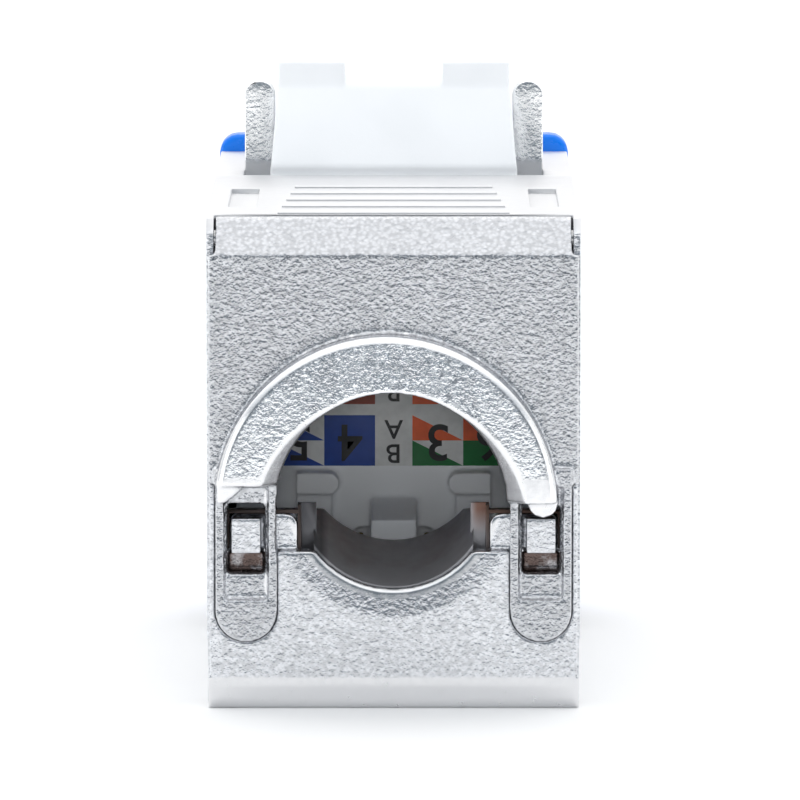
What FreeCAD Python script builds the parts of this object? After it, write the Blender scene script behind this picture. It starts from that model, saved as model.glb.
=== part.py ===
import FreeCAD, Part
import math
import os
import re
import Sketcher

# Shielded keystone jack with two closing jaws at the cable end.
# Frame: X across, Y from the plug port (-Y) to the cable entry (+Y), Z up.
# The origin is on the flat underside, half way along the depth.

SIZES = {
    # housing
    "body_width": 15.0, "body_height": 19.75, "wall": 0.7, "top_wall": 0.9, "front_y": -15.6,
    "halves_y": -3.3, "rear_y": 16.5, "cheek_y": 15.85, "floor": 0.8, "front_floor_z": 3.6,
    "step_y": -7.6, "hook_y": -12.4, "hook_depth": 1.4, "hook_drop": 1.4,
    "ear_inner": 5.03, "ear_thick": 1.27, "ear_y": -7.4, "ear_depth": 1.5, "ear_rise": 3.8,
    "ear_slot": 2.2, "slot_depth": 0.35, "recess_start": 2.8, "recess_length": 8.2,
    "recess_inner": 5.55, "recess_width": 1.15, "recess_depth": 0.2,
    "rib_pitch": 2.93, "rib_rise": 0.1, "rib_thick": 0.7, "rib_half": 4.1, "rib_grow": 0.14,
    "rib_start": 2.05,
    # jaws
    "upper_pivot_y": 15.1, "upper_pivot_z": 18.85, "upper_barrel": 0.89, "facet_z": 18.3,
    "crest_run": 0.27, "crest_rise": 0.845, "lip_back": 0.6,
    "jaw_inner_y": 15.3, "cheek": 0.38, "upper_inset": 0.08, "lower_inset": 0.12,
    "heel_run": 0.4, "heel_lean": 0.12, "heel_rise": 0.4, "heel_top": 0.9, "heel_play": 0.3,
    "foot_inset": 0.06, "lug_inner": 5.8, "lug_width": 0.9, "lug_radius": 0.75, "arm_fit": 0.03,
    "barrel": 1.28, "pin_radius": 0.35, "running_fit": 0.03, "play": 0.08,
    "split_z": 9.12, "collar_radius": 6.85, "collar_bore": 4.6, "collar_z": 8.3,
    "collar_shift": 0.3, "bore_shift": 0.1, "collar_rise": 1.4, "rim_width": 0.25,
    "collar_crown": 0.3, "throat_drop": 1.2, "lobe_z": 8.42, "lobe_radius": 0.6,
    "arm_inner": 4.68, "arm_width": 2.46, "arm_foot_z": 2.76, "arm_thick": 0.7, "arm_proud": 0.25,
    "window_width": 1.5, "window_low": 5.48, "window_high": 8.32, "pocket_low": 4.44,
    "pocket_width": 1.78, "pocket_depth": 0.25,
    "jaw_top_z": 6.38, "seat_radius": 4.1, "seat_z": 8.84, "seat_chamfer": 1.0, "seat_dip": 0.12,
    "seat_rim": 0.28, "seat_lip": 0.34,
    "block_inner": 3.85, "block_outer": 6.6, "block_top": 7.84, "block_depth": 0.95,
    "catch_half": 0.6, "catch_reach": 0.6, "catch_low": 6.32, "pit_depth": 0.5,
    # shield spring
    "sheet": 0.15, "saddle_tilt": 20.0, "saddle_half": 3.2, "saddle_depth": 3.9,
    "saddle_back": 0.4, "saddle_fall": 0.6,
    "wing_top": 8.18,
    # latch
    "latch_foot_half": 5.2, "latch_top_half": 4.86, "latch_root_y": -4.4, "latch_bead": 0.6,
    "latch_thick": 0.8, "latch_top_y": -5.9, "latch_top_z": 23.8, "latch_nose_y": -13.3,
    "latch_nose_z": 22.0, "pad_length": 2.8, "pad_rise": 0.65, "pad_depth": 1.9,
    "tooth_rise": 1.0, "tooth_y": -11.2,
    # plug port and dust cap
    "port_z": 12.3, "port_width": 11.7, "port_height": 6.7, "tab_width": 6.0, "tab_drop": 1.5,
    "cap_lip": 0.05, "cap_low": 3.7, "cap_high": 20.48, "cap_thick": 1.4, "cap_gap": 0.05,
    "cap_plug": 5.0, "cap_round": 0.8, "cap_wall": 1.0, "cap_play": 0.15, "grip_half": 3.0,
    "insert_back": -2.6, "insert_wall": 0.45,
    # contacts, board and terminals
    "contact_pitch": 1.02, "contact_thick": 0.35, "contact_rise": 2.2,
    "contact_run": 4.0, "contact_lead": 0.2, "back_wall": 1.2, "inside_play": 0.3,
    "board_y": -1.8, "board_thick": 1.0, "board_low": 1.6, "board_high": 18.1,
    "idc_pitch": 2.9, "idc_depth": 3.6, "idc_thick": 0.35, "carrier_low": 3.0,
    "carrier_height": 3.4,
    # wire manager and label
    "manager_y": 4.6, "manager_back": 2.9, "manager_low": 2.2,
    "manager_high": 17.2, "post_half": 0.95, "post_low": 5.6, "post_high": 7.14,
    "post_reach": 4.5, "post_drop": 0.43, "land_inner": 2.25, "land_width": 1.75, "land_low": 7.34,
    "land_height": 0.92, "land_reach": 1.1, "stem_width": 1.45, "stem_low": 5.0,
    "stem_reach": 0.8, "gutter_radius": 1.15, "label_low": 8.44, "label_high": 13.92,
    "label_half": 5.2, "label_thick": 0.12,
}

ALONG_X = FreeCAD.Rotation(FreeCAD.Vector(0, 1, 0), 90)
ALONG_Y = FreeCAD.Rotation(FreeCAD.Vector(1, 0, 0), -90)
SIDES = {"left": 1, "right": -1}

# Half widths that follow the housing: between its cheeks, and inside its walls.
HINGE_HALF = "(body_width / 2 - cheek)"
INSIDE_HALF = "(body_width / 2 - wall - inside_play)"

doc = FreeCAD.newDocument("keystone_jack")
nodes = []


def make_sheet():
    """Writes the driving dimensions, one named cell each."""
    sheet = doc.addObject("Spreadsheet::Sheet", "Sizes")
    for row, (name, value) in enumerate(SIZES.items(), start=1):
        sheet.set(f"A{row}", name)
        sheet.set(f"B{row}", str(value))
        sheet.setAlias(f"B{row}", name)
    doc.recompute()


def bound(text):
    """Points every size named in an expression at its cell."""
    return re.sub(r"[a-z]\w*", lambda m: f"Sizes.{m[0]}" if m[0] in SIZES else m[0], str(text))


def place(item, x="0", y="0", z="0", turn=None):
    if turn:
        item.Placement = FreeCAD.Placement(FreeCAD.Vector(), turn)
    for axis, value in (("x", x), ("y", y), ("z", z)):
        item.setExpression(f"Placement.Base.{axis}", bound(value))
    return item


def block(x, y, z):
    """A box between two expressions along each axis."""
    item = doc.addObject("Part::Box", "Block")
    for side, (low, high) in (("Length", x), ("Width", y), ("Height", z)):
        item.setExpression(side, bound(f"({high}) - ({low})"))
    return place(item, x[0], y[0], z[0])


def centred(half, y, z):
    return block((f"-({half})", half), y, z)


def sided(side, inner, outer, y, z):
    """A box on one side of the middle plane: side is 1 or -1."""
    low, high = (inner, outer) if side > 0 else (f"-({outer})", f"-({inner})")
    return block((low, high), y, z)


def rod(radius, length, turn=None, x="0", y="0", z="0"):
    item = doc.addObject("Part::Cylinder", "Rod")
    item.setExpression("Radius", bound(radius))
    item.setExpression("Height", bound(length))
    return place(item, x, y, z, turn)


def cross_rod(radius, half, y, z):
    """A cylinder across the jack, centred on its middle plane."""
    return rod(radius, f"2 * ({half})", ALONG_X, f"-({half})", y, z)


def cone(start, end, length, x, y, z):
    """A cone along the depth, from its start radius to its end radius."""
    item = doc.addObject("Part::Cone", "Cone")
    item.setExpression("Radius1", bound(start))
    item.setExpression("Radius2", bound(end))
    item.setExpression("Height", bound(length))
    return place(item, x, y, z, ALONG_Y)


def join(*items):
    fused = doc.addObject("Part::MultiFuse", "Joined")
    fused.Shapes = list(items)
    return fused


def cut(base, *tools):
    result = doc.addObject("Part::Cut", "Trimmed")
    result.Base = base
    result.Tool = join(*tools) if len(tools) > 1 else tools[0]
    return result


def common(*items):
    result = doc.addObject("Part::MultiCommon", "Shared")
    result.Shapes = list(items)
    return result


def profile(role, points, start, end):
    """A body padded from a straight-sided outline between two expressions.

    The outline is drawn on the origin plane with the given role. Its corners start on a
    circle and the constraints bring them to their expressions.
    """
    body = doc.addObject("PartDesign::Body", "Profile")
    sketch = body.newObject("Sketcher::SketchObject", "Outline")
    plane = next(f for f in body.Origin.OriginFeatures if f.Role == role)
    sketch.AttachmentSupport = (plane, [""])
    sketch.MapMode = "FlatFace"
    count = len(points)
    turn = 2 * math.pi / count
    corners = [FreeCAD.Vector(math.cos(turn * i), math.sin(turn * i), 0) for i in range(count)]
    for i in range(count):
        sketch.addGeometry(Part.LineSegment(corners[i], corners[(i + 1) % count]))
    for i in range(count):
        sketch.addConstraint(Sketcher.Constraint("Coincident", i, 2, (i + 1) % count, 1))
    for i, point in enumerate(points):
        for kind, text, value in zip(("DistanceX", "DistanceY"), point, corners[i]):
            number = sketch.addConstraint(Sketcher.Constraint(kind, -1, 1, i, 1, value))
            sketch.setExpression(f"Constraints[{number}]", bound(text))
    offset = f"-({end})" if role == "XZ_Plane" else start
    sketch.setExpression("AttachmentOffset.Base.z", bound(offset))
    pad = body.newObject("PartDesign::Pad", "Pad")
    pad.Profile = sketch
    pad.setExpression("Length", bound(f"({end}) - ({start})"))
    doc.recompute()
    return body


def side_profile(points, half):
    """An outline in depth and height, padded across the jack."""
    return profile("YZ_Plane", points, f"-({half})", half)


def rounded(body, radius, wanted):
    """Fillets the body's straight edges along one axis that pass a test on their middle."""
    names = []
    for number, edge in enumerate(body.Shape.Edges, start=1):
        run = edge.tangentAt(edge.FirstParameter)
        if wanted(run, edge.CenterOfMass):
            names.append(f"Edge{number}")
    base = body.Tip
    fillet = body.newObject("PartDesign::Fillet", "Rounding")
    fillet.Base = (base, names)
    fillet.setExpression("Radius", bound(radius))
    doc.recompute()
    return body


def along_y(run, _middle):
    return abs(run.y) > 0.99


def node(label, item):
    item.Label = label
    nodes.append(item)


def top_ribs():
    """Five grip ribs across the top plate, each wider than the one before it."""
    ribs = []
    for i in range(5):
        start = f"rib_start + {i} * rib_pitch"
        half = f"rib_half + {i} * rib_grow"
        ribs.append(centred(half, (start, f"{start} + rib_thick"),
                            ("body_height - rib_rise", "body_height + rib_rise")))
    return ribs


def heel():
    """The softened lower rear corner in depth and height, from the underside upward."""
    return [("rear_y - heel_run", "0"), ("rear_y - heel_lean", "heel_rise"),
            ("rear_y", "heel_top")]


def hinge_lug(side):
    """An eye that holds the lower pin, on an arm standing back from the floor."""
    x = "lug_inner" if side > 0 else "-(lug_inner + lug_width)"
    pivot = "rear_y - barrel"
    bar = sided(side, "lug_inner", "lug_inner + lug_width", ("rear_y - 3 * barrel", pivot),
                ("barrel - lug_radius", "barrel - 0.1"))
    return join(bar, rod("lug_radius", "lug_width", ALONG_X, x, pivot, "barrel"))


def rear_shell():
    """The rear half: a rectangular tube whose cheeks hold the upper pin and lugs the lower."""
    half = "body_width / 2"
    pivot = "rear_y - barrel"
    slope = "(upper_pivot_z + crest_rise - facet_z) / (rear_y - upper_pivot_y - crest_run)"
    tube = side_profile([
        ("halves_y", "0"), (pivot, "0"), ("cheek_y", "barrel"),
        ("cheek_y", f"facet_z + (rear_y - cheek_y) * {slope}"),
        ("upper_pivot_y + crest_run", "upper_pivot_z + crest_rise"),
        ("upper_pivot_y", "body_height"), ("halves_y", "body_height"),
    ], half)
    inner = centred(f"{half} - wall", ("halves_y - 1", "rear_y + 1"),
                    ("floor", "body_height - top_wall"))
    rear_gap = centred(f"{HINGE_HALF} + play", ("upper_pivot_y - lip_back", "rear_y + 1"),
                       ("-1", "body_height + 1"))
    upper_room = cross_rod("upper_barrel + play", f"{HINGE_HALF} + play", "upper_pivot_y",
                           "upper_pivot_z")
    lower_room = cross_rod("barrel + heel_play", "body_width", pivot, "barrel")
    recesses = []
    for side in SIDES.values():
        recesses.append(sided(side, "recess_inner", "recess_inner + recess_width",
                              ("recess_start", "recess_start + recess_length"),
                              ("body_height - recess_depth", "body_height + 1")))
    shell = cut(tube, inner, rear_gap, upper_room, lower_room, *recesses)
    lugs = [hinge_lug(side) for side in SIDES.values()]
    pins = [cross_rod("pin_radius", f"{half} + 1", "upper_pivot_y", "upper_pivot_z"),
            cross_rod("pin_radius", f"{half} + 1", pivot, "barrel")]
    node("rear_shell", cut(join(shell, *top_ribs(), *lugs), *pins))


def ear(side):
    """One of two upright fins beside the latch, with a rounded top."""
    inner, outer = "ear_inner", "ear_inner + ear_thick"
    top = "body_height + ear_rise - ear_thick / 2"
    fin = sided(side, inner, outer, ("ear_y", "ear_y + ear_depth"), ("body_height - 0.3", top))
    cap = rod("ear_thick / 2", "ear_depth", ALONG_Y, f"{side} * (ear_inner + ear_thick / 2)",
              "ear_y", top)
    return join(fin, cap)


def port_opening(grow, front, back):
    """The plug opening and its two-step tab slot, grown outward by an expression."""
    low = f"port_z - port_height / 2 - ({grow})"
    main = centred(f"port_width / 2 + ({grow})", (front, back),
                   (low, f"port_z + port_height / 2 + ({grow})"))
    tab = centred(f"tab_width / 2 + ({grow})", (front, back), (f"{low} - tab_drop", low))
    return [main, tab]


def front_shell():
    """The front half: port frame, latch groove, ears and the fixed keystone catch."""
    half = "body_width / 2"
    outer = side_profile([
        ("front_y", "front_floor_z"), ("hook_y - hook_depth", "front_floor_z"),
        ("hook_y - hook_depth", "front_floor_z - hook_drop"),
        ("hook_y", "front_floor_z - hook_drop"), ("hook_y", "front_floor_z"),
        ("step_y", "front_floor_z"), ("step_y", "0"), ("halves_y", "0"),
        ("halves_y", "body_height"), ("front_y", "body_height"),
    ], half)
    cavity = centred(f"{half} - wall", ("step_y + wall", "halves_y + 1"),
                     ("floor", "body_height - top_wall - latch_bead"))
    seat = centred("port_width / 2 + insert_wall", ("front_y + wall", "halves_y"),
                   ("port_z - port_height / 2 - insert_wall - tab_drop",
                    "port_z + port_height / 2 + insert_wall"))
    groove = cross_rod("latch_bead + play", "latch_foot_half + play", "latch_root_y",
                       "body_height - latch_bead / 2")
    slots = []
    for side in SIDES.values():
        slots.append(sided(side, "ear_inner - 0.1", "ear_inner + ear_thick",
                           ("ear_y + ear_depth", "ear_y + ear_depth + ear_slot"),
                           ("body_height - slot_depth", "body_height + 1")))
        slots.append(sided(side, "port_width / 2", "port_width / 2 + insert_wall + sheet",
                           ("front_y - 1", "step_y"), ("port_z - 2", "port_z + 2")))
    shell = cut(outer, cavity, seat, groove, *slots, *port_opening("0", "front_y - 1", "step_y"))
    node("front_shell", join(shell, *[ear(side) for side in SIDES.values()]))


def collar():
    """The raised half ring round the cable entry: a low cone with a chamfered rim."""
    step = "rear_y + collar_rise - collar_crown"
    ring = rod("collar_radius", "collar_rise - collar_crown - rim_width + 0.2", ALONG_Y,
               "collar_shift", "rear_y - 0.2", "collar_z")
    rim = cone("collar_radius", "collar_radius - rim_width", "rim_width", "collar_shift",
               f"{step} - rim_width", "collar_z")
    crown = cone("collar_radius - rim_width", "collar_bore", "collar_crown", "collar_shift",
                 step, "collar_z")
    depth = ("rear_y - 1", "rear_y + 3")
    kept = join(block(("0", "body_width"), depth, ("split_z", "body_height")),
                block(("-body_width", "0"), depth, ("lobe_z", "body_height")))
    return common(join(ring, rim, crown), kept)


def throat():
    """A flare that opens the cable hole sideways towards the ends of the collar."""
    return cone("collar_bore", "collar_bore + throat_drop", "collar_rise", "bore_shift",
                "rear_y + 0.1", "collar_z - throat_drop")


def arm(side):
    """A hanging arm with a round foot, a shallow pocket and a window for the catch."""
    middle = "(arm_inner + arm_width / 2)"
    back = "rear_y + arm_proud - arm_thick"
    front = "rear_y + arm_proud"
    foot = "arm_foot_z + arm_width / 2"
    strap = sided(side, "arm_inner", "arm_inner + arm_width", (back, front),
                  (foot, "split_z + 0.6"))
    end = rod("arm_width / 2", "arm_thick", ALONG_Y, f"{side} * {middle}", back, foot)
    pocket = sided(side, f"{middle} - pocket_width / 2", f"{middle} + pocket_width / 2",
                   (f"{front} - pocket_depth", f"{front} + 1"), ("pocket_low", "split_z - 0.1"))
    window = sided(side, f"{middle} - window_width / 2", f"{middle} + window_width / 2",
                   (f"{back} - 1", f"{front} + 1"), ("window_low", "window_high"))
    return cut(join(strap, end), pocket, window)


def upper_jaw():
    """The upper jaw: faceted top edge on a barrel, plate, collar and two arms."""
    crest = ("upper_pivot_y + crest_run", "upper_pivot_z + crest_rise")
    plate = side_profile([
        ("upper_pivot_y", "upper_pivot_z - upper_barrel"), ("upper_pivot_y", "upper_pivot_z"),
        crest, ("rear_y", "facet_z"), ("rear_y", "split_z"), ("jaw_inner_y", "split_z"),
        ("jaw_inner_y", "upper_pivot_z - upper_barrel"),
    ], HINGE_HALF)
    above = side_profile([
        crest, ("rear_y", "facet_z"), ("rear_y", "body_height + 1"),
        ("upper_pivot_y + crest_run", "body_height + 1"),
    ], "body_width")
    barrel = cut(cross_rod("upper_barrel", HINGE_HALF, "upper_pivot_y", "upper_pivot_z"), above)
    cover = centred("body_width / 2 - upper_inset", ("cheek_y + play", "rear_y"),
                    ("split_z", "facet_z"))
    lobe = rod("lobe_radius", "arm_proud + 0.35", ALONG_Y, "-(arm_inner + 1.3)", "rear_y",
               "lobe_z")
    horn = profile("XZ_Plane", [
        ("collar_radius + collar_shift - 0.1", "split_z + 0.3"),
        ("collar_radius - 0.9", "split_z + 0.3"), ("collar_radius - 0.9", "split_z - 0.05"),
        ("collar_radius - 0.1", "lobe_z"), ("collar_radius + collar_shift - 0.1", "lobe_z"),
    ], "rear_y - 0.1", "rear_y + collar_rise - collar_crown - rim_width")
    bore = rod("collar_bore", "rear_y", ALONG_Y, "bore_shift", "rear_y / 2", "collar_z")
    pin = cross_rod("pin_radius + running_fit", "body_width", "upper_pivot_y", "upper_pivot_z")
    body = join(plate, barrel, cover, collar(), lobe, horn,
                *[arm(side) for side in SIDES.values()])
    node("upper_jaw", cut(body, bore, throat(), pin))


def catch_block(side):
    """A catch block with a rounded top and the rib that stands in the arm's window."""
    middle = "(arm_inner + arm_width / 2)"
    front = "rear_y + arm_proud - arm_thick - play"
    rise = "block_top - 0.5"
    parts = [sided(side, "block_inner", "block_outer", (f"{front} - block_depth", front),
                   ("jaw_top_z - 1.5", rise))]
    parts.append(sided(side, "block_inner + 0.5", "block_outer - 0.5",
                       (f"{front} - block_depth", front), (rise, "block_top")))
    for x in ("block_inner + 0.5", "block_outer - 0.5"):
        parts.append(rod("0.5", "block_depth", ALONG_Y, f"{side} * ({x})",
                         f"{front} - block_depth", rise))
    parts.append(sided(side, f"{middle} - catch_half", f"{middle} + catch_half",
                       (front, f"{front} + catch_reach"), ("catch_low", "block_top - 0.12")))
    return join(*parts)


def arm_recess(side):
    """The hollow in the lower jaw's face where an arm lies."""
    grown = "arm_width / 2 + arm_fit"
    middle = "(arm_inner + arm_width / 2)"
    back = "rear_y + arm_proud - arm_thick - play"
    foot = "arm_foot_z + arm_width / 2"
    return [sided(side, f"{middle} - ({grown})", f"{middle} + {grown}", (back, "rear_y + 1"),
                  (foot, "body_height")),
            rod(grown, "2", ALONG_Y, f"{side} * {middle}", back, foot)]


def catch_pit(side):
    """The pit under the catch rib, behind the lower end of the arm's window."""
    middle = "(arm_inner + arm_width / 2)"
    back = "rear_y + arm_proud - arm_thick - play"
    return sided(side, f"{middle} - window_width / 2", f"{middle} + window_width / 2",
                 (f"{back} - pit_depth", "rear_y + 1"), ("window_low", "catch_low"))


def lower_jaw():
    """The lower jaw: smooth foot on a barrel, plate, cable seat and the two catch blocks."""
    pivot = "rear_y - barrel"
    plate = side_profile([
        (pivot, "barrel"), ("rear_y", "barrel"), ("rear_y", "jaw_top_z"),
        ("jaw_inner_y", "jaw_top_z"), ("jaw_inner_y", "2 * barrel"),
    ], HINGE_HALF)
    cover = centred("body_width / 2 - lower_inset", ("cheek_y + play", "rear_y"),
                    ("barrel", "jaw_top_z"))
    foot = side_profile([*heel(), ("rear_y", "barrel"), (pivot, "barrel"), (pivot, "0.0")],
                        "body_width / 2 - foot_inset")
    edge = cross_rod("barrel", "body_width / 2 - lower_inset", pivot, "barrel")
    lip = "(seat_radius - sheet)"
    tools = [cone(lip, "seat_radius + seat_chamfer", "seat_dip", "0", "rear_y - seat_dip",
                  "seat_z"),
             cone(lip, f"{lip} + seat_rim", "seat_rim", "0", "rear_y - seat_rim", "seat_z"),
             rod(lip, "rear_y", ALONG_Y, "0", "rear_y / 2", "seat_z"),
             rod("seat_radius", "rear_y / 2", ALONG_Y, "0", "rear_y / 2 - seat_lip", "seat_z")]
    for side in SIDES.values():
        tools += arm_recess(side)
        tools.append(sided(side, "lug_inner - play", "lug_inner + lug_width + play",
                           ("rear_y - 3 * barrel", f"{pivot} + lug_radius + play"),
                           ("-1", "barrel + lug_radius + play")))
    pin = cross_rod("pin_radius + running_fit", "body_width", pivot, "barrel")
    body = cut(join(plate, cover, foot, edge), *tools, pin)
    blocks = [catch_block(side) for side in SIDES.values()]
    cheeks = [sided(side, "arm_inner + arm_width + arm_fit", "body_width / 2 - lower_inset",
                    ("cheek_y + play", "rear_y"), ("jaw_top_z - 0.5", "split_z - play"))
              for side in SIDES.values()]
    solid = join(body, *blocks, *cheeks)
    node("lower_jaw", cut(solid, *[catch_pit(side) for side in SIDES.values()]))


def saddle():
    """The tilted half-round trough that presses on the cable's braid."""
    lean = FreeCAD.Rotation(FreeCAD.Vector(1, 0, 0), 90 - SIZES["saddle_tilt"])
    start = "rear_y - saddle_back"
    lift = "seat_radius / cos(saddle_tilt) - seat_radius"
    tubes = []
    for radius in ("seat_radius", "seat_radius - sheet"):
        tube = rod(radius, "rear_y", lean, "0", f"{start} + 2",
                   f"seat_z + {lift} - 2 * tan(saddle_tilt)")
        tubes.append(tube)
    low = "jaw_top_z - 2"
    span = side_profile([(f"{start} - saddle_depth", low), (start, low), (start, "wing_top"),
                         (f"{start} - saddle_depth", "wing_top - saddle_fall")], "saddle_half")
    return common(cut(*tubes), span)


def shield_spring():
    """Folded spring steel: saddle, flat wings and a band over each catch block."""
    front = "rear_y + arm_proud - arm_thick - play - 0.15"
    back = f"{front} - block_depth + 0.3"
    parts = [saddle()]
    for side in SIDES.values():
        inner = "block_inner - sheet"
        outer = "block_outer + sheet"
        top = "block_top + sheet"
        parts.append(sided(side, "saddle_half - 0.1", inner, ("jaw_inner_y - sheet - 0.35",
                                                             "jaw_inner_y - 0.35"),
                           ("jaw_top_z - 0.6", "wing_top")))
        parts.append(sided(side, inner, "block_inner", ("jaw_inner_y - sheet - 0.35", front),
                           ("jaw_top_z", "wing_top")))
        parts.append(sided(side, inner, outer, (back, front), ("block_top", top)))
        parts.append(sided(side, "block_outer", outer, (back, front), ("jaw_top_z", top)))
    node("shield_spring", join(*parts))


def latch():
    """The flexing latch: root bead, rear wall, forward arm with a tooth, two finger pads."""
    root_z = "body_height - latch_bead / 2"
    side = side_profile([
        ("latch_root_y - latch_bead / 2", root_z), ("latch_root_y + latch_bead / 2", root_z),
        ("latch_root_y + latch_bead", "body_height + 0.35"),
        ("latch_top_y + latch_thick", "latch_top_z - 0.4"), ("latch_top_y + 0.4", "latch_top_z"),
        ("tooth_y + 0.5", "latch_nose_z + 0.6"), ("tooth_y", "latch_nose_z + tooth_rise"),
        ("tooth_y - 0.8", "latch_nose_z + 0.25"), ("latch_nose_y", "latch_nose_z"),
        ("latch_nose_y", "latch_nose_z - latch_thick * 0.6"),
        ("latch_top_y - 0.2", "latch_top_z - latch_thick"),
    ], "latch_foot_half")
    taper = profile("XZ_Plane", [
        ("-latch_foot_half", "body_height - 1"), ("latch_foot_half", "body_height - 1"),
        ("latch_foot_half", "body_height"), ("latch_top_half", "latch_top_z"),
        ("-latch_top_half", "latch_top_z"), ("-latch_foot_half", "body_height"),
    ], "front_y", "0")
    bead = cross_rod("latch_bead", "latch_foot_half", "latch_root_y", root_z)
    pads = []
    for sign in SIDES.values():
        pads.append(sided(sign, "latch_top_half - pad_length", "latch_top_half",
                          ("latch_top_y + latch_thick - pad_depth", "latch_top_y + latch_thick"),
                          ("latch_top_z - latch_thick / 2", "latch_top_z + pad_rise")))
    node("latch", join(common(side, taper), bead, *pads))


def dust_cap():
    """The cap: a flange over the port face, a hollow plug and a finger grip."""
    back = "front_y - cap_gap"
    face = f"{back} - cap_thick"
    half = "(body_width / 2 + cap_lip)"
    flange = rounded(profile("XZ_Plane", [
        (f"-{half}", "cap_low"), (half, "cap_low"), (half, "cap_high"), (f"-{half}", "cap_high"),
    ], face, back), "cap_round", along_y)
    plug = port_opening("-cap_play", back, "front_y + cap_plug")
    hollow = port_opening("-cap_play - cap_wall", back, "front_y + cap_plug + 1")
    grip = centred("grip_half", (f"{face} - 1.2", face), ("cap_low + 2", "cap_low + 3.2"))
    node("dust_cap", join(flange, cut(join(*plug), *hollow), grip))


def port_insert():
    """The plug socket: a plastic sleeve behind the port face with a closed back."""
    low = "port_z - port_height / 2 - insert_wall - tab_drop"
    sleeve = centred("port_width / 2 + insert_wall - play", ("front_y + wall + play",
                     "insert_back"), (f"{low} + play",
                     "port_z + port_height / 2 + insert_wall - play"))
    room = port_opening("0", "front_y", "insert_back - back_wall")
    keep = [sided(side, "port_width / 2 - 0.02", "port_width / 2 + 1",
                  ("front_y", "step_y - 1"), ("port_z - 2", "port_z + 2"))
            for side in SIDES.values()]
    node("port_insert", cut(sleeve, *room, *keep))


def contact_wire(number):
    """A sprung wire slanting down from the insert's back wall into the plug space."""
    x = f"{number - 4.5} * contact_pitch"
    top = "port_z + port_height / 2"
    root = "insert_back - back_wall"
    tip = f"{root} - contact_run"
    wire = profile("YZ_Plane", [
        (root, f"{top} - 0.1"), (root, f"{top} - 0.1 - contact_thick"),
        (tip, f"{top} - contact_rise - contact_thick"),
        (f"{tip} - contact_lead", f"{top} - contact_rise - 0.1"),
    ], f"{x} - contact_thick / 2", f"{x} + contact_thick / 2")
    node(f"contact_wire_{number}", wire)


def port_spring(side):
    """A steel strip along the side of the port that touches the plug's shield."""
    return sided(side, "port_width / 2 + 0.05", "port_width / 2 + 0.05 + sheet",
                 ("front_y + 0.2", "step_y - 1.05"), ("port_z - 1.6", "port_z + 1.6"))


def board_and_terminals():
    """The board behind the insert, two terminal carriers and their eight terminals."""
    back = "board_y + board_thick"
    node("circuit_board", centred(INSIDE_HALF, ("board_y", back), ("board_low", "board_high")))
    rows = {"lower": "carrier_low", "upper": "board_high - carrier_height - 0.6"}
    for row, low in rows.items():
        room = []
        for i in range(4):
            x = f"{i - 1.5} * idc_pitch"
            y_range = (back, f"{back} + idc_depth")
            z_range = (f"{low} + 1", f"{low} + carrier_height - 1")
            room.append(block((f"{x} - idc_thick / 2", f"{x} + idc_thick / 2"),
                              y_range, z_range))
        carrier = centred(f"{INSIDE_HALF} - 0.4", (back, f"{back} + idc_depth"),
                          (low, f"{low} + carrier_height"))
        node(f"idc_block_{row}", cut(carrier, *room))
        first = 1 if row == "lower" else 5
        for i, slot in enumerate(room):
            blade = block((f"{i - 1.5} * idc_pitch - idc_thick / 2",
                           f"{i - 1.5} * idc_pitch + idc_thick / 2"),
                          (back, f"{back} + idc_depth - 0.3"),
                          (f"{low} + 1", f"{low} + carrier_height - 1"))
            node(f"idc_terminal_{first + i}", blade)


def wire_manager():
    """The manager: a plate with a long centre post, two lands on stems and two gutters."""
    back, face = "manager_back", "manager_y"
    parts = [centred(INSIDE_HALF, (back, face), ("manager_low", "manager_high"))]
    round_end = "land_height / 2"
    for side in SIDES.values():
        land_outer = "land_inner + land_width"
        parts.append(sided(side, f"land_inner + {round_end}", land_outer,
                           (face, f"{face} + land_reach"), ("land_low", "land_low + land_height")))
        parts.append(rod(round_end, "land_reach + 0.1", ALONG_Y,
                         f"{side} * (land_inner + {round_end})", f"{face} - 0.1",
                         f"land_low + {round_end}"))
        parts.append(sided(side, f"{land_outer} - stem_width", land_outer,
                           (face, f"{face} + stem_reach"), ("stem_low", "land_low")))
    gutters = [rod("gutter_radius", "8", ALONG_Y, f"{side} * (post_half + 0.1)", f"{back} - 1",
                   "post_low - gutter_radius + 0.3") for side in SIDES.values()]
    tip = f"{face} + post_reach"
    post = side_profile([(f"{face} - 0.2", "post_low + 0.4"), (f"{face} + 0.2", "post_low"),
                         (tip, "post_low"), (tip, "post_high - post_drop"),
                         (f"{face} - 0.2", "post_high")], "post_half")
    node("wire_manager", join(cut(join(*parts), *gutters), post))
    node("wiring_label", centred("label_half", (face, f"{face} + label_thick"),
                                 ("label_low", "label_high")))


def hinge_pins():
    node("hinge_pin_upper", cross_rod("pin_radius", "body_width / 2 - play", "upper_pivot_y",
                                      "upper_pivot_z"))
    node("hinge_pin_lower", cross_rod("pin_radius", "body_width / 2 - lower_inset",
                                      "rear_y - barrel", "barrel"))


def build():
    make_sheet()
    rear_shell()
    front_shell()
    upper_jaw()
    lower_jaw()
    shield_spring()
    latch()
    dust_cap()
    port_insert()
    for number in range(1, 9):
        contact_wire(number)
    for name, side in SIDES.items():
        node(f"port_spring_{name}", port_spring(side))
    board_and_terminals()
    wire_manager()
    hinge_pins()
    doc.recompute()


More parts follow.
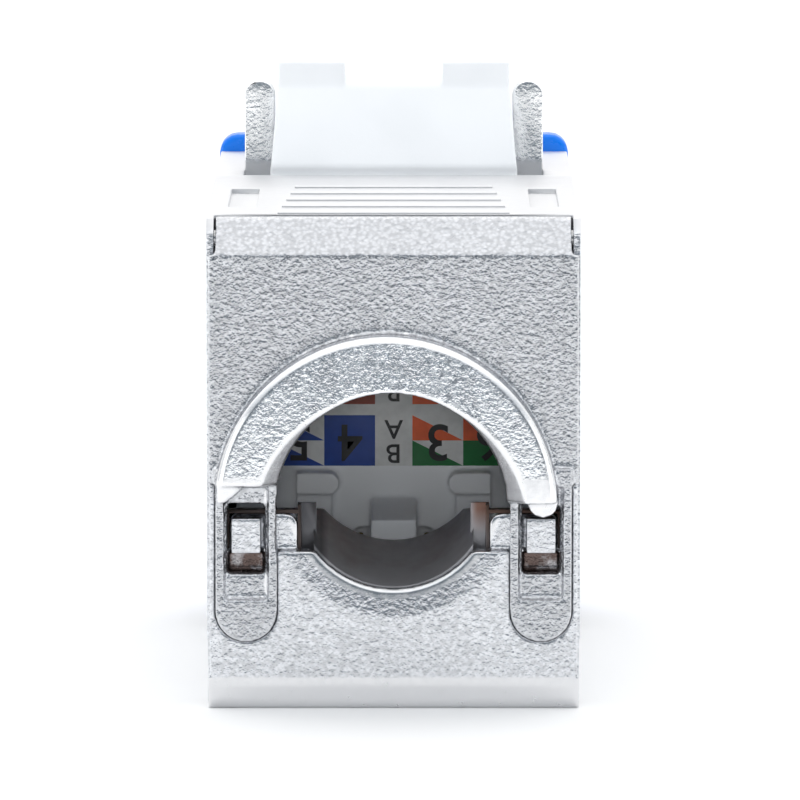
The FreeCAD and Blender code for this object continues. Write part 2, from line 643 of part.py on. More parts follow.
def write_parts():
    """Checks every object, then writes one STEP file for each sub-part."""
    for item in doc.Objects:
        if {"Invalid", "Error"} & set(item.State):
            raise RuntimeError(f"{item.Label} failed: {item.State}")
    for item in nodes:
        if item.Shape.isNull() or not item.Shape.isValid():
            raise RuntimeError(f"{item.Label} has no valid shape")
        if len(item.Shape.Solids) != 1:
            print("solids", item.Label, len(item.Shape.Solids))
    os.makedirs("parts", exist_ok=True)
    for item in nodes:
        item.Shape.exportStep(f"parts/{item.Label}.step")


build()
write_parts()
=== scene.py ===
"""A shielded keystone jack with two closing jaws, dressed for rendering."""

import math

import bmesh
import bpy
from bpy.props import FloatProperty, FloatVectorProperty, PointerProperty
from bpy.types import Operator, Panel, PropertyGroup
from mathutils import Matrix, Vector


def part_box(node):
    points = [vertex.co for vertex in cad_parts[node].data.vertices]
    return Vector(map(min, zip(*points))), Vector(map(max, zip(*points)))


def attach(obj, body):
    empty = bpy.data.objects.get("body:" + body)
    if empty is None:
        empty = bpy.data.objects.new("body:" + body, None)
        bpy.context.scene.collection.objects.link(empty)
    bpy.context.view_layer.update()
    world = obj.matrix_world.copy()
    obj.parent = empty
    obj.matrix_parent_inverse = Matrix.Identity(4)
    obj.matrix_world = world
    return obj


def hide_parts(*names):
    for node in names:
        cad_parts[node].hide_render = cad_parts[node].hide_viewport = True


bl_info = {
    "name": "Keystone jack",
    "version": (1, 0, 0),
    "blender": (4, 5, 0),
    "location": "View3D > Sidebar > Keystone jack",
    "description": "Builds the looks of a shielded keystone jack around its solid parts",
    "category": "Object",
}

MM = 0.001
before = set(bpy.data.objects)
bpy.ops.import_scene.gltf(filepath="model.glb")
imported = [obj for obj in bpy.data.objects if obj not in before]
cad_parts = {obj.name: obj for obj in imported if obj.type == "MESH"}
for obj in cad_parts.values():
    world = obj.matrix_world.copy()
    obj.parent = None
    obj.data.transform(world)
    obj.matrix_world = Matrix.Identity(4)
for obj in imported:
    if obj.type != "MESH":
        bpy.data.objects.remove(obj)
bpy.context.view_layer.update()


# ---------------------------------------------------------------- settings

class FinishSettings(PropertyGroup):
    """Colours and grain of the jack's finishes."""

    nickel: FloatVectorProperty(
        name="Nickel", description="Colour of the plated castings",
        default=(0.69, 0.70, 0.725), size=3, subtype="COLOR", min=0, max=1)
    polish: FloatVectorProperty(
        name="Polished nickel", description="Colour of rims and edges left unblasted",
        default=(0.86, 0.86, 0.87), size=3, subtype="COLOR", min=0, max=1)
    grain: FloatProperty(
        name="Grain size", description="Width of one dimple of the blasted surface",
        default=0.14 * MM, unit="LENGTH", precision=5)
    grain_depth: FloatProperty(
        name="Grain depth", description="Depth of one dimple",
        default=0.055 * MM, unit="LENGTH", precision=5)
    white: FloatVectorProperty(
        name="White plastic", description="Colour of the latch and the wire manager",
        default=(0.92, 0.94, 0.96), size=3, subtype="COLOR", min=0, max=1)
    blue: FloatVectorProperty(
        name="Cap plastic", description="Colour of the port cap",
        default=(0.0, 0.19, 0.84), size=3, subtype="COLOR", min=0, max=1)
    steel: FloatVectorProperty(
        name="Spring steel", description="Colour of the shield spring",
        default=(0.36, 0.355, 0.37), size=3, subtype="COLOR", min=0, max=1)
    edge: FloatProperty(
        name="Casting edge", description="Radius of the castings' edges",
        default=0.09 * MM, unit="LENGTH", precision=5)


class LabelSettings(PropertyGroup):
    """Sizes of the wiring label's fields and figures."""

    pitch: FloatProperty(
        name="Field width", description="Width and height of one colour field",
        default=2.1 * MM, unit="LENGTH", precision=4)
    column: FloatProperty(
        name="Middle column", description="Width of the white column between the fields",
        default=1.54 * MM, unit="LENGTH", precision=4)
    gap: FloatProperty(
        name="Row gap", description="White gap between the two rows",
        default=0.46 * MM, unit="LENGTH", precision=4)
    figure: FloatProperty(
        name="Figure height", description="Height of the figures",
        default=1.5 * MM, unit="LENGTH", precision=4)


class StageSettings(PropertyGroup):
    """Camera and light."""

    elevation: FloatProperty(
        name="Elevation", description="Height angle of the camera",
        default=math.radians(6.4), subtype="ANGLE")
    distance: FloatProperty(
        name="Distance", description="Camera distance from the jaws' faces",
        default=0.37, unit="LENGTH")
    view_width: FloatProperty(
        name="View width", description="Width seen at the jaws' faces",
        default=32.0 * MM, unit="LENGTH", precision=4)
    aim_height: FloatProperty(
        name="Aim height", description="Height that the camera looks at",
        default=12.5 * MM, unit="LENGTH", precision=4)
    aim_side: FloatProperty(
        name="Aim side", description="Sideways place that the camera looks at",
        default=-0.26 * MM, unit="LENGTH", precision=4)


# ---------------------------------------------------------------- node helpers

class Shader:
    """A material under construction, with short ways to add and link its nodes."""

    def __init__(self, name):
        self.material = bpy.data.materials.new(name)
        self.material.use_nodes = True
        self.tree = self.material.node_tree
        self.surface = self.tree.nodes["Principled BSDF"]
        self.coords = self.add("ShaderNodeTexCoord").outputs["Object"]

    def add(self, kind, **settings):
        node = self.tree.nodes.new(kind)
        for key, value in settings.items():
            setattr(node, key, value)
        return node

    def link(self, source, target):
        self.tree.links.new(source, target)

    def set(self, **values):
        for key, value in values.items():
            self.surface.inputs[key.replace("_", " ")].default_value = value

    def noise(self, scale, detail=3.0, rough=0.55):
        node = self.add("ShaderNodeTexNoise")
        node.inputs["Scale"].default_value = scale
        node.inputs["Detail"].default_value = detail
        node.inputs["Roughness"].default_value = rough
        self.link(self.coords, node.inputs["Vector"])
        return node.outputs["Fac"]

    def cells(self, scale):
        node = self.add("ShaderNodeTexVoronoi", feature="SMOOTH_F1")
        node.inputs["Scale"].default_value = scale
        self.link(self.coords, node.inputs["Vector"])
        return node.outputs["Distance"]

    def height(self, axis):
        node = self.add("ShaderNodeSeparateXYZ")
        self.link(self.coords, node.inputs[0])
        return node.outputs[axis]

    def reach(self, x, z):
        """Distance from a line along the depth, through a point across and up."""
        squares = []
        for axis, middle in (("X", x), ("Z", z)):
            offset = self.math("SUBTRACT", self.height(axis), middle)
            squares.append(self.math("MULTIPLY", offset, offset))
        return self.math("SQRT", self.math("ADD", *squares), 0.0)

    def edges(self, low, high):
        """How far the surface is folded outward, from 0 to 1."""
        folded = self.add("ShaderNodeNewGeometry").outputs["Pointiness"]
        return self.span(folded, low, high)

    def span(self, source, low, high, out_low=0.0, out_high=1.0, smooth=False):
        node = self.add("ShaderNodeMapRange")
        if smooth:
            node.interpolation_type = "SMOOTHSTEP"
        for key, value in (("From Min", low), ("From Max", high),
                           ("To Min", out_low), ("To Max", out_high)):
            node.inputs[key].default_value = value
        self.link(source, node.inputs["Value"])
        return node.outputs["Result"]

    def math(self, operation, first, second):
        node = self.add("ShaderNodeMath", operation=operation)
        for socket, value in zip(node.inputs, (first, second)):
            if isinstance(value, (int, float)):
                socket.default_value = value
            else:
                self.link(value, socket)
        return node.outputs[0]

    def tint(self, factor, first, second):
        node = self.add("ShaderNodeMix", data_type="RGBA")
        self.link(factor, node.inputs["Factor"])
        node.inputs["A"].default_value = (*first, 1)
        node.inputs["B"].default_value = (*second, 1)
        return node.outputs["Result"]

    def blend(self, factor, first, second):
        """A colour socket that gives way to a plain colour."""
        node = self.add("ShaderNodeMix", data_type="RGBA")
        self.link(factor, node.inputs["Factor"])
        self.link(first, node.inputs["A"])
        node.inputs["B"].default_value = (*second, 1)
        return node.outputs["Result"]

    def bump(self, heightmap, distance, strength):
        node = self.add("ShaderNodeBump")
        node.inputs["Distance"].default_value = distance
        if isinstance(strength, (int, float)):
            node.inputs["Strength"].default_value = strength
        else:
            self.link(strength, node.inputs["Strength"])
        self.link(heightmap, node.inputs["Height"])
        return node.outputs["Normal"]

    def finish(self, colour=None, roughness=None, normal=None):
        for key, value in (("Base Color", colour), ("Roughness", roughness),
                           ("Normal", normal)):
            if value is not None:
                self.link(value, self.surface.inputs[key])
        return self.material


def finishes():
    return bpy.context.scene.jack_finish


# ---------------------------------------------------------------- materials

def shade(colour, factor):
    return tuple(min(1.0, channel * factor) for channel in colour)


def nickel_plate(name, polished, worn_and_highlit=False, tone=1.0, rim=1.0, satin=0.0, grain=1.0,
                 patch=None):
    """Nickel over a grit-blasted casting.

    The polished function takes the shader and returns where the blasting was kept off. A
    patch is such a function for one area of another colour, and that colour; each patch used
    here is painted light or painted shade. Worn castings are smoother along their outward edges
    and painted brighter there, partly wear and partly a painted highlight. Rim is the tone of
    the bare parts, satin makes them duller, and grain deepens the blasting. Tone brightens or
    darkens the whole casting as painted light: the lower jaw is painted brighter for the light
    it catches from the floor, the shells brighter too, and the upper jaw darker.
    """
    look = finishes()
    shader = Shader(name)
    shader.set(Metallic=1.0)
    grit = shader.noise(1 / look.grain, detail=2.0, rough=0.6)
    pits = shader.cells(0.6 / look.grain)
    relief = shader.math("ADD", grit, shader.math("MULTIPLY", pits, 0.5))
    smooth = polished(shader)
    # Outward edges rubbed smooth and painted brighter: partly wear, partly a painted highlight.
    rubbed_and_highlit = shader.edges(0.53, 0.62) if worn_and_highlit else smooth
    bare = shader.math("MAXIMUM", smooth, shader.math("MULTIPLY", rubbed_and_highlit, 0.8))
    normal = shader.bump(relief, look.grain_depth, shader.span(bare, 0.0, 1.0, grain, 0.04))
    cloud = shader.noise(180.0, detail=3.0)
    colour = shader.tint(shader.span(cloud, 0.3, 0.7), shade(look.nickel, 0.96 * tone),
                         shade(look.nickel, 1.04 * tone))
    # Painted shade: darker speckle across the grain stands in for the glints and shade of the
    # blasted dimples.
    painted_grain_shade = shader.span(shader.cells(0.9 / look.grain), 0.25, 0.6, 0.0, 0.5)
    colour = shader.blend(painted_grain_shade, colour, shade(look.nickel, 0.55 * tone))
    # Each patch is painted light or painted shade, broken up by random blotches.
    if patch:
        area, other = patch
        blotches = shader.span(shader.noise(1500.0), 0.5, 0.62, 1.0, 0.6)
        colour = shader.blend(shader.math("MULTIPLY", area(shader), blotches), colour, other)
    # Bare parts take the polish colour; on the upper jaw that is brighter than its blasted
    # face, a painted highlight on its rims and edges.
    colour = shader.blend(bare, colour, shade(look.polish, rim))
    roughness = shader.span(shader.noise(2600.0), 0.3, 0.7, 0.16, 0.28)
    roughness = shader.math("ADD", roughness, shader.math("MULTIPLY", bare, satin))
    return shader.finish(colour, roughness, normal)


COLLAR_MIDDLE = (0.3 * MM, 8.3 * MM)
COLLAR_RIM = (6.5 * MM, 6.62 * MM)
COLLAR_FACE = (16.8 * MM, 16.9 * MM)


def polished_collar(shader):
    """The collar's rim, flare and lower ends, left smooth; the upper jaw paints them brighter
    than its face, partly polish and partly a painted highlight.
    """
    face = shader.span(shader.height("Y"), *COLLAR_FACE)
    rim = shader.span(shader.reach(*COLLAR_MIDDLE), *COLLAR_RIM)
    flare = shader.span(shader.reach(0.1 * MM, 7.1 * MM), 5.75 * MM, 5.95 * MM, 1.0, 0.0)
    ends = shader.span(shader.height("Z"), 9.4 * MM, 9.6 * MM, 1.0, 0.0)
    marked = shader.math("MAXIMUM", rim, shader.math("MAXIMUM", flare, ends))
    return shader.math("MULTIPLY", face, marked)


def polished_foot(shader):
    """The lower jaw's foot band and the rim of its cable seat."""
    foot = shader.span(shader.height("Z"), 1.2 * MM, 1.38 * MM, 1.0, 0.0, smooth=True)
    rim = shader.span(shader.reach(0.0, 8.84 * MM), 4.36 * MM, 4.46 * MM, 1.0, 0.0)
    return shader.math("MAXIMUM", foot, rim)


def collar_crown(shader):
    """The blasted ring inside the collar's rim, where it is painted brighter than the plate:
    painted light.
    """
    face = shader.span(shader.height("Y"), *COLLAR_FACE)
    ring = shader.span(shader.reach(*COLLAR_MIDDLE), *COLLAR_RIM, 1.0, 0.0)
    return shader.math("MULTIPLY", face, ring)


def catch_hollows(shader):
    """The two hollows below the catch ribs, left and right, painted dark brown: painted shade.
    """
    across = shader.math("ABSOLUTE", shader.height("X"), 0.0)
    level = shader.height("Z")
    inside = shader.math("MULTIPLY", shader.span(across, 5.1 * MM, 5.2 * MM),
                         shader.span(across, 6.6 * MM, 6.75 * MM, 1.0, 0.0))
    inside = shader.math("MULTIPLY", inside, shader.span(level, 5.3 * MM, 5.5 * MM))
    inside = shader.math("MULTIPLY", inside,
                         shader.span(level, 6.24 * MM, 6.34 * MM, 1.0, 0.0))
    return shader.math("MULTIPLY", inside,
                       shader.span(shader.height("Y"), 16.0 * MM, 16.2 * MM, 1.0, 0.0))


def ears(shader):
    """The two ears beside the latch, where the front shell is painted brighter: painted light.
    """
    return shader.span(shader.height("Z"), 20.2 * MM, 20.4 * MM)


def polished_top(shader):
    """The housing's flat top, below the blasted ears."""
    level = shader.height("Z")
    above = shader.span(level, 19.0 * MM, 19.4 * MM)
    below = shader.span(level, 20.0 * MM, 20.25 * MM, 1.0, 0.0)
    return shader.math("MULTIPLY", above, below)


def moulded_plastic(name, colour, roughness=0.42, depth=0.004):
    """Injection-moulded plastic with fine spark-eroded texture and faint flow marks."""
    shader = Shader(name)
    shader.set(IOR=1.5)
    flow = shader.noise(240.0, detail=2.0)
    tone = shader.tint(shader.span(flow, 0.35, 0.65), shade(colour, 0.97), shade(colour, 1.02))
    rough = shader.span(shader.noise(3000.0), 0.3, 0.7, roughness - 0.06, roughness + 0.06)
    normal = shader.bump(shader.noise(9000.0, detail=2.0), depth * MM, 0.6)
    return shader.finish(tone, rough, normal)


def white_plastic():
    material = moulded_plastic("white_moulding", finishes().white, 0.4)
    surface = material.node_tree.nodes["Principled BSDF"]
    surface.inputs["Subsurface Weight"].default_value = 0.15
    surface.inputs["Subsurface Radius"].default_value = (0.6 * MM, 0.6 * MM, 0.6 * MM)
    return material


def spring_steel():
    """Dark rolled steel: fine lines along the strip, browner on one side high up, and painted
    shade on the +X wing and on the strip's wraps over the catch blocks.
    """
    look = finishes()
    shader = Shader("rolled_spring_steel")
    shader.set(Metallic=0.8)
    # Browner towards -X between 6.9 and 7.9 mm up.
    tint = shader.span(shader.height("X"), -3.4 * MM, -3.0 * MM, 0.8, 0.0, smooth=True)
    high = shader.span(shader.height("Z"), 6.9 * MM, 7.9 * MM)
    brown_side = shader.math("MULTIPLY", tint, high)
    colour = shader.tint(brown_side, look.steel, (0.2, 0.075, 0.03))
    blotches = shader.span(shader.noise(420.0), 0.5, 0.75, 0.0, 0.4)
    colour = shader.blend(blotches, colour, (0.17, 0.12, 0.09))
    # Painted shade: the wing beyond 2.9 mm towards +X painted dark.
    shaded = shader.span(shader.height("X"), 2.6 * MM, 2.9 * MM, 0.0, 0.85)
    colour = shader.blend(shaded, colour, (0.1, 0.1, 0.108))
    # Painted shade: the rear halves of the strip's wraps over the catch blocks, between block
    # and arm, painted near black brown.
    band = shader.span(shader.height("Y"), 15.1 * MM, 15.3 * MM, 0.0, 0.85)
    side = shader.span(shader.math("ABSOLUTE", shader.height("X"), 0.0), 3.6 * MM, 3.75 * MM)
    colour = shader.blend(shader.math("MULTIPLY", band, side), colour, (0.05, 0.033, 0.026))
    rough = shader.span(shader.noise(2200.0), 0.3, 0.7, 0.34, 0.5)
    normal = shader.bump(shader.noise(5200.0, detail=4.0), 0.003 * MM, 0.5)
    return shader.finish(colour, rough, normal)


def plain_metal(name, colour, roughness):
    """Turned or stamped metal with light tool marks."""
    shader = Shader(name)
    shader.set(Metallic=1.0)
    tone = shader.tint(shader.noise(500.0), shade(colour, 0.9), shade(colour, 1.08))
    rough = shader.span(shader.noise(4000.0), 0.3, 0.7, roughness - 0.05, roughness + 0.07)
    normal = shader.bump(shader.noise(7000.0), 0.003 * MM, 0.5)
    return shader.finish(tone, rough, normal)


def printed_film(name, colour):
    """Satin label film with a slightly uneven ink layer."""
    shader = Shader(name)
    ink = shader.noise(2500.0, detail=3.0)
    tone = shader.tint(shader.span(ink, 0.35, 0.65), shade(colour, 0.93), shade(colour, 1.04))
    rough = shader.span(shader.noise(900.0), 0.3, 0.7, 0.38, 0.5)
    normal = shader.bump(shader.noise(4000.0), 0.002 * MM, 0.5)
    return shader.finish(tone, rough, normal)


# ---------------------------------------------------------------- pieces

def copied(node_name, material, body):
    """A welded copy of a solid part that stands for it."""
    shape = bmesh.new()
    shape.from_mesh(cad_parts[node_name].data)
    bmesh.ops.remove_doubles(shape, verts=shape.verts, dist=0.002 * MM)
    mesh = bpy.data.meshes.new(node_name + "_skin")
    shape.to_mesh(mesh)
    shape.free()
    mesh.materials.append(material)
    mesh.shade_smooth()
    piece = bpy.data.objects.new(node_name + "_skin", mesh)
    bpy.context.scene.collection.objects.link(piece)
    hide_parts(node_name)
    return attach(piece, body)


def dressed(node_name, material, edge, body="housing"):
    """A copy of a solid part with its sharp edges rounded."""
    piece = copied(node_name, material, body)
    rounding = piece.modifiers.new("edge", "BEVEL")
    rounding.width = edge
    rounding.segments = 3
    rounding.limit_method = "ANGLE"
    rounding.angle_limit = math.radians(28.0)
    rounding.use_clamp_overlap = False
    rounding.harden_normals = True
    return piece


def cast(node_name, material, grid, body, passes=3):
    """A copy of a solid part with the soft edges and hollows of a casting."""
    piece = copied(node_name, material, body)
    skin = piece.modifiers.new("skin", "REMESH")
    skin.mode = "VOXEL"
    skin.voxel_size = grid
    skin.use_smooth_shade = True
    ease = piece.modifiers.new("ease", "SMOOTH")
    ease.factor = 0.5
    ease.iterations = passes
    return piece


def keep(node_name, material):
    """Leaves a solid part as it is, with a better finish."""
    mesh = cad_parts[node_name].data
    mesh.materials.clear()
    mesh.materials.append(material)


def slab(name, corners, y, thickness, material):
    """A thin plate facing the cable end, from its corners across and up."""
    shape = bmesh.new()
    points = [shape.verts.new((x, y, z)) for x, z in corners]
    face = shape.faces.new(points)
    raised = bmesh.ops.extrude_face_region(shape, geom=[face])
    moved = [item for item in raised["geom"] if isinstance(item, bmesh.types.BMVert)]
    bmesh.ops.translate(shape, vec=(0, thickness, 0), verts=moved)
    bmesh.ops.recalc_face_normals(shape, faces=shape.faces)
    mesh = bpy.data.meshes.new(name)
    shape.to_mesh(mesh)
    shape.free()
    mesh.materials.append(material)
    piece = bpy.data.objects.new(name, mesh)
    bpy.context.scene.collection.objects.link(piece)
    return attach(piece, "housing")


def figure(name, text, x, z, y, height, material):
    """A printed figure, upside down as the label is when the jack stands on its base."""
    curve = bpy.data.curves.new(name, "FONT")
    curve.body = text
    curve.size = height / 0.7
    curve.align_x = "CENTER"
    curve.align_y = "CENTER"
    curve.extrude = 0.008 * MM
    curve.offset = height * 0.012
    carrier = bpy.data.objects.new(name + "_outline", curve)
    bpy.context.scene.collection.objects.link(carrier)
    bpy.context.view_layer.update()
    mesh = bpy.data.meshes.new_from_object(carrier)
    bpy.data.objects.remove(carrier)
    turned = Matrix(((1, 0, 0, x), (0, 0, 1, y), (0, -1, 0, z), (0, 0, 0, 1)))
    mesh.transform(turned)
    mesh.materials.clear()
    mesh.materials.append(material)
    piece = bpy.data.objects.new(name, mesh)
    bpy.context.scene.collection.objects.link(piece)
    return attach(piece, "housing")


# ---------------------------------------------------------------- operators

class JACK_OT_castings(Operator):
    """Dresses the two housing castings and the two jaws"""

    bl_idname = "jack.castings"
    bl_label = "Castings"

    def execute(self, context):
        edge = finishes().edge
        # Painted light: the front and rear shells are painted brighter by their tone, and the
        # front shell's ears brighter still.
        front = nickel_plate("nickel_front_shell", polished_top, tone=1.14, rim=0.86, satin=0.3,
                             grain=0.4, patch=(ears, shade(finishes().nickel, 1.5)))
        rear = nickel_plate("nickel_rear_shell", polished_top, tone=1.14, rim=0.86, satin=0.3,
                            grain=0.8)
        dressed("front_shell", front, edge * 0.6)
        dressed("rear_shell", rear, edge * 0.5)
        # Painted light: the upper jaw is painted darker by its tone, and its collar's blasted
        # ring brighter.
        upper = nickel_plate("nickel_upper_jaw", polished_collar, worn_and_highlit=True, tone=0.94,
                             grain=0.8, patch=(collar_crown, shade(finishes().nickel, 1.4)))
        # Painted light and shade: the lower jaw is painted brighter by its tone for the floor's
        # light, and the hollows below its catch ribs painted dark brown as shade.
        lower = nickel_plate("nickel_lower_jaw", polished_foot, worn_and_highlit=True, tone=1.14, rim=0.92,
                             grain=0.45, patch=(catch_hollows, (0.13, 0.095, 0.085)))
        cast("upper_jaw", upper, 0.09 * MM, "upper_jaw")
        cast("lower_jaw", lower, 0.08 * MM, "lower_jaw")
        return {"FINISHED"}


class JACK_OT_mouldings(Operator):
    """Dresses the latch, the cap, the wire manager and the inner plastic parts"""

    bl_idname = "jack.mouldings"
    bl_label = "Mouldings"

    def execute(self, context):
        white = white_plastic()
        cast("latch", white, 0.09 * MM, "latch", passes=2)
        cast("wire_manager", white, 0.1 * MM, "housing", passes=2)
        dressed("idc_block_upper", white, 0.1 * MM)
        dressed("idc_block_lower", white, 0.1 * MM)
        cap = moulded_plastic("cap_moulding", finishes().blue, 0.3)
        cast("dust_cap", cap, 0.13 * MM, "dust_cap", passes=2)
        black = moulded_plastic("insert_moulding", (0.02, 0.02, 0.022), 0.45)
        keep("port_insert", black)
        return {"FINISHED"}


class JACK_OT_steel(Operator):
    """Dresses the shield spring, the port springs and the hinge pins"""

    bl_idname = "jack.steel"
    bl_label = "Steel parts"

    def execute(self, context):
        steel = spring_steel()
        dressed("shield_spring", steel, 0.03 * MM, body="lower_jaw")
        keep("port_spring_left", steel)
        keep("port_spring_right", steel)
        ground = plain_metal("ground_pin_steel", (0.6, 0.6, 0.6), 0.25)
        keep("hinge_pin_upper", ground)
        keep("hinge_pin_lower", ground)
        return {"FINISHED"}


class JACK_OT_contacts(Operator):
    """Dresses the contact wires, the terminals and the board"""

    bl_idname = "jack.contacts"
    bl_label = "Contacts and board"

    def execute(self, context):
        gold = plain_metal("contact_gold", (0.83, 0.6, 0.24), 0.22)
        for number in range(1, 9):
            keep(f"contact_wire_{number}", gold)
            keep(f"idc_terminal_{number}", gold)
        keep("circuit_board", moulded_plastic("solder_mask", (0.02, 0.14, 0.05), 0.35))
        return {"FINISHED"}


class JACK_OT_label(Operator):
    """Makes the wiring label's colour fields and figures"""

    bl_idname = "jack.label"
    bl_label = "Wiring label"

    def execute(self, context):
        look = context.scene.jack_label
        low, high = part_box("wiring_label")
        film = printed_film("label_film", (0.74, 0.75, 0.74))
        keep("wiring_label", film)
        inks = {
            "orange": printed_film("ink_orange", (0.85, 0.13, 0.03)),
            "green": printed_film("ink_green", (0.0, 0.17, 0.035)),
            "blue": printed_film("ink_blue", (0.01, 0.06, 0.34)),
            "brown": printed_film("ink_brown", (0.3, 0.055, 0.025)),
            "black": printed_film("ink_black", (0.012, 0.012, 0.014)),
        }
        face = high.y
        step, half = look.pitch, look.column / 2
        rows = {"low": low.z, "high": low.z + step + look.gap}

        def column(place):
            """Left edge, counted in fields from the middle column; positive is +X."""
            return half + (place - 1) * step if place > 0 else -half + place * step

        def field(name, place, row, ink, part="all"):
            x, z = column(place), rows[row]
            right, top, mid = x + step, z + step, z + step / 2
            outlines = {
                "all": [(x, z), (right, z), (right, top), (x, top)],
                "upper": [(x, mid), (right, mid), (right, top), (x, top)],
                "lower": [(x, z), (right, z), (right, mid), (x, mid)],
                "upper_wedge": [(x, mid), (right, mid), (right, top)],
                "lower_wedge": [(x, z), (right, z), (right, mid)],
            }
            slab(f"field_{name}", outlines[part], face, 0.006 * MM, inks[ink])

        field("four", 1, "low", "blue")
        field("five_low", 2, "low", "blue", "lower_wedge")
        field("five_high", 2, "low", "blue", "upper_wedge")
        field("three_high", -1, "low", "orange", "upper_wedge")
        field("three_low", -1, "low", "green", "lower_wedge")
        field("six_high", -2, "low", "orange", "upper")
        field("six_low", -2, "low", "green", "lower")
        field("eight", 1, "high", "brown")
        field("seven_low", 2, "high", "brown", "lower_wedge")
        field("seven_high", 2, "high", "brown", "upper_wedge")
        field("two_high", -1, "high", "green", "upper")
        field("two_low", -1, "high", "orange", "lower")
        field("one_high", -2, "high", "green", "upper_wedge")
        field("one_low", -2, "high", "orange", "lower_wedge")

        marks = (("4", 1, "low"), ("5", 2, "low"), ("3", -1, "low"), ("6", -2, "low"),
                 ("8", 1, "high"), ("7", 2, "high"), ("2", -1, "high"), ("1", -2, "high"))
        above = face + 0.012 * MM
        for text, place, row in marks:
            figure(f"figure_{text}", text, column(place) + step / 2, rows[row] + step / 2,
                   above, look.figure, inks["black"])
        for row, z in rows.items():
            for text, rise in (("A", 0.74), ("B", 0.26)):
                figure(f"mark_{text}_{row}", text, 0.0, z + step * rise, above,
                       look.figure * 0.52, inks["black"])
        return {"FINISHED"}


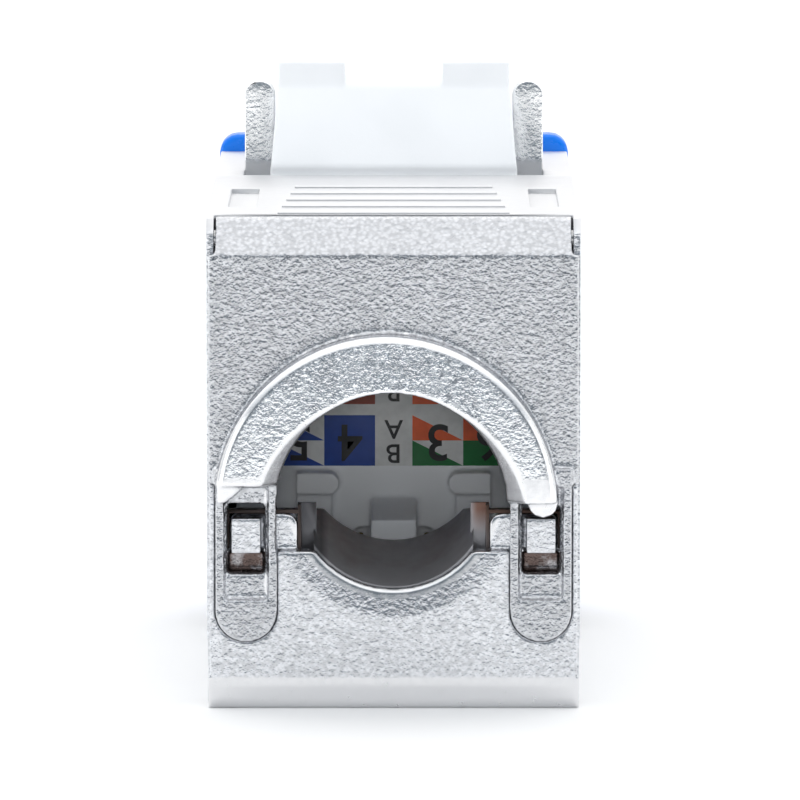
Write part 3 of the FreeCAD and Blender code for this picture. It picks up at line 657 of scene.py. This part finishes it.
class JACK_OT_stage(Operator):
    """Makes the floor, the lights and the camera"""

    bl_idname = "jack.stage"
    bl_label = "Stage"

    def floor(self):
        shape = bmesh.new()
        bmesh.ops.create_grid(shape, x_segments=1, y_segments=1, size=6.0)
        mesh = bpy.data.meshes.new("floor")
        shape.to_mesh(mesh)
        shape.free()
        shader = Shader("pale_floor")
        shader.set(Base_Color=(0.93, 0.93, 0.93, 1), Roughness=0.75)
        mesh.materials.append(shader.material)
        piece = bpy.data.objects.new("floor", mesh)
        bpy.context.scene.collection.objects.link(piece)

    def lamp(self, name, place, aim, size, power, mirrored=True):
        """A soft box; one that isn't mirrored only fills the shade."""
        light = bpy.data.lights.new(name, "AREA")
        light.shape = "RECTANGLE"
        light.size, light.size_y = size
        light.energy = power
        item = bpy.data.objects.new(name, light)
        item.location = place
        item.rotation_euler = (Vector(aim) - Vector(place)).to_track_quat("-Z", "Y").to_euler()
        item.visible_glossy = mirrored
        bpy.context.scene.collection.objects.link(item)

    def band(self, tree, height, stops):
        """Greys stacked from the horizon up, each with its height, level and coolness."""
        ramp = tree.nodes.new("ShaderNodeValToRGB")
        tree.links.new(height, ramp.inputs["Fac"])
        elements = ramp.color_ramp.elements
        elements[0].position, elements[1].position = stops[0][0], stops[-1][0]
        for stop in stops[1:-1]:
            elements.new(stop[0])
        for element, (_place, grey, cool) in zip(elements, stops):
            element.color = (grey * (1 - cool), grey, grey * (1 + cool), 1)
        return ramp.outputs["Color"]

    def sky(self):
        """A white tent behind the jack and a darker one with a bright roof before it."""
        world = bpy.data.worlds.new("studio")
        bpy.context.scene.world = world
        world.use_nodes = True
        tree = world.node_tree
        coords = tree.nodes.new("ShaderNodeTexCoord")
        split = tree.nodes.new("ShaderNodeSeparateXYZ")
        tree.links.new(coords.outputs["Generated"], split.inputs[0])
        behind = self.band(tree, split.outputs["Z"], (
            (0.0, 0.57, 0.01), (0.25, 0.62, 0.01), (0.5, 1.0, 0.0), (1.0, 1.0, 0.0)))
        before = self.band(tree, split.outputs["Z"], (
            (0.0, 0.34, 0.05), (0.05, 0.28, 0.1), (0.1, 0.1, 0.18), (0.38, 0.1, 0.18),
            (0.55, 0.4, 0.08), (0.72, 0.76, 0.02), (1.0, 0.8, 0.01)))
        turn = tree.nodes.new("ShaderNodeMapRange")
        turn.interpolation_type = "SMOOTHSTEP"
        turn.inputs["From Min"].default_value = -0.5
        turn.inputs["From Max"].default_value = 0.3
        tree.links.new(split.outputs["Y"], turn.inputs["Value"])
        tent = tree.nodes.new("ShaderNodeMix")
        tent.data_type = "RGBA"
        tree.links.new(turn.outputs["Result"], tent.inputs["Factor"])
        tree.links.new(behind, tent.inputs["A"])
        tree.links.new(before, tent.inputs["B"])
        tree.links.new(tent.outputs["Result"], tree.nodes["Background"].inputs["Color"])
        tree.nodes["Background"].inputs["Strength"].default_value = 1.65

    def camera(self, look):
        data = bpy.data.cameras.new("camera")
        data.sensor_width = 36.0
        data.lens = 36.0 * look.distance / look.view_width
        data.clip_start, data.clip_end = 0.01, 50.0
        item = bpy.data.objects.new("camera", data)
        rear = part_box("lower_jaw")[1].y
        aim = Vector((look.aim_side, rear, look.aim_height))
        back = Vector((0, math.cos(look.elevation), math.sin(look.elevation)))
        item.location = aim + back * look.distance
        item.rotation_euler = (-back).to_track_quat("-Z", "Y").to_euler()
        bpy.context.scene.collection.objects.link(item)
        bpy.context.scene.camera = item

    def execute(self, context):
        self.floor()
        self.sky()
        self.lamp("left_box", (0.4, 0.12, 0.08), (0, 0, 0.01), (0.24, 0.24), 0.24)
        self.lamp("right_box", (-0.4, 0.12, 0.08), (0, 0, 0.01), (0.24, 0.24), 0.22)
        self.lamp("fill", (0, 2.0, 0.3), (0, 0, 0.012), (0.2, 0.2), 4.0, mirrored=False)
        self.lamp("key", (0, 0.5, 0.5), (0, 0, 0.012), (0.3, 0.3), 0.6, mirrored=False)
        self.camera(context.scene.jack_stage)
        bpy.context.scene.view_settings.view_transform = "Standard"
        return {"FINISHED"}


class JACK_PT_sidebar(Panel):
    """Lists the jack's settings and build steps"""

    bl_idname = "JACK_PT_sidebar"
    bl_label = "Keystone jack"
    bl_space_type = "VIEW_3D"
    bl_region_type = "UI"
    bl_category = "Keystone jack"

    def draw(self, context):
        for group in ("jack_finish", "jack_label", "jack_stage"):
            settings = getattr(context.scene, group)
            for key in settings.bl_rna.properties.keys():
                if key not in ("rna_type", "name"):
                    self.layout.prop(settings, key)
        for step in STEPS:
            self.layout.operator(step.bl_idname)


STEPS = (JACK_OT_castings, JACK_OT_mouldings, JACK_OT_steel, JACK_OT_contacts, JACK_OT_label,
         JACK_OT_stage)
GROUPS = {"jack_finish": FinishSettings, "jack_label": LabelSettings,
          "jack_stage": StageSettings}


def register():
    for item in (*GROUPS.values(), *STEPS, JACK_PT_sidebar):
        bpy.utils.register_class(item)
    for name, group in GROUPS.items():
        setattr(bpy.types.Scene, name, PointerProperty(type=group))


def unregister():
    for name in GROUPS:
        delattr(bpy.types.Scene, name)
    for item in (*GROUPS.values(), *STEPS, JACK_PT_sidebar):
        bpy.utils.unregister_class(item)


def main():
    """Builds every piece in order."""
    register()
    bpy.ops.jack.castings()
    bpy.ops.jack.mouldings()
    bpy.ops.jack.steel()
    bpy.ops.jack.contacts()
    bpy.ops.jack.label()
    bpy.ops.jack.stage()


if __name__ == "__main__":
    main()
